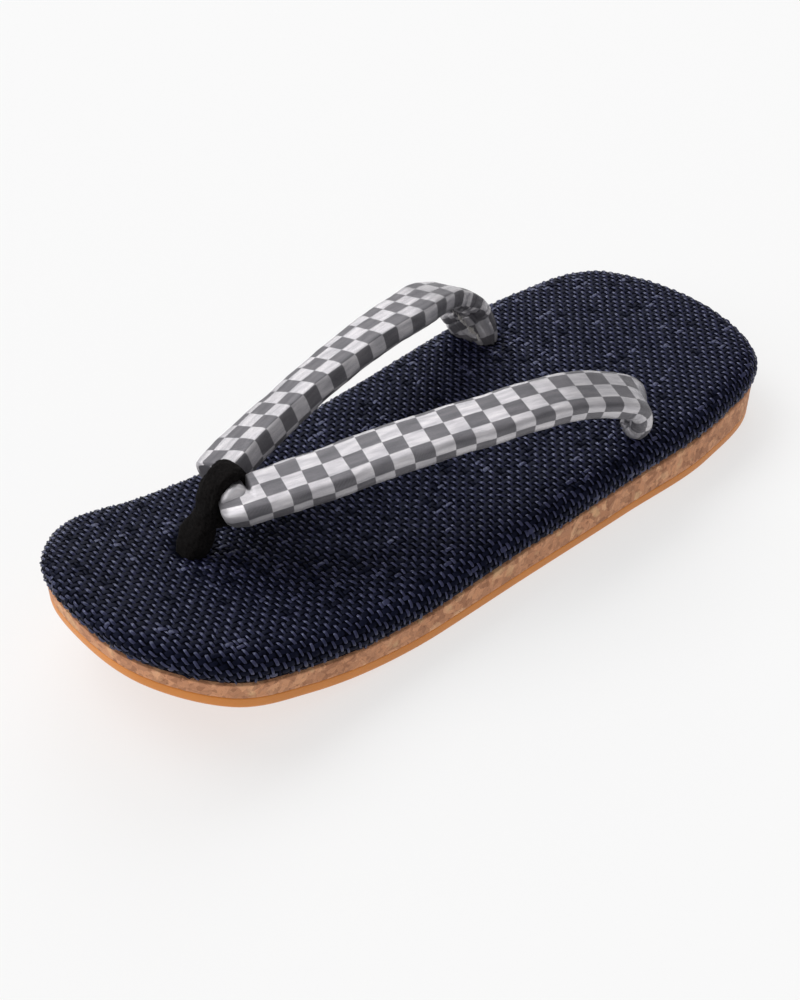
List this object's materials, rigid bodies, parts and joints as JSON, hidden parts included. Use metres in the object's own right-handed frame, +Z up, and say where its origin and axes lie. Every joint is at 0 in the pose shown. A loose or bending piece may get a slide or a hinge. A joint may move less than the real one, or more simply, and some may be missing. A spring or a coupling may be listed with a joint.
{
  "type": "zori sandal",
  "caption": "Left zori sandal with a cloth-covered footbed, cork wedge, rubber outsole, padded checked straps and a black toe loop.",
  "frame": {"origin": "on the floor, under the middle of the outline", "axes": "+Z up, +Y from toe to heel, +X towards the outer side of the left foot"},
  "size_m": [0.0964, 0.2562, 0.0524],
  "materials": {
    "gum_rubber": "satin",
    "cork": "matte pressed cork",
    "woven_cover": "coarse open weave",
    "checked_cloth": "satin checks over twill",
    "black_felt": "matte felt"
  },
  "bodies": {
    "root": {"outsole": "gum_rubber", "cork_wedge": "cork", "footbed": "woven_cover", "hanao_straps": "checked_cloth", "toe_loop": "black_felt"}
  },
  "joints": []
}
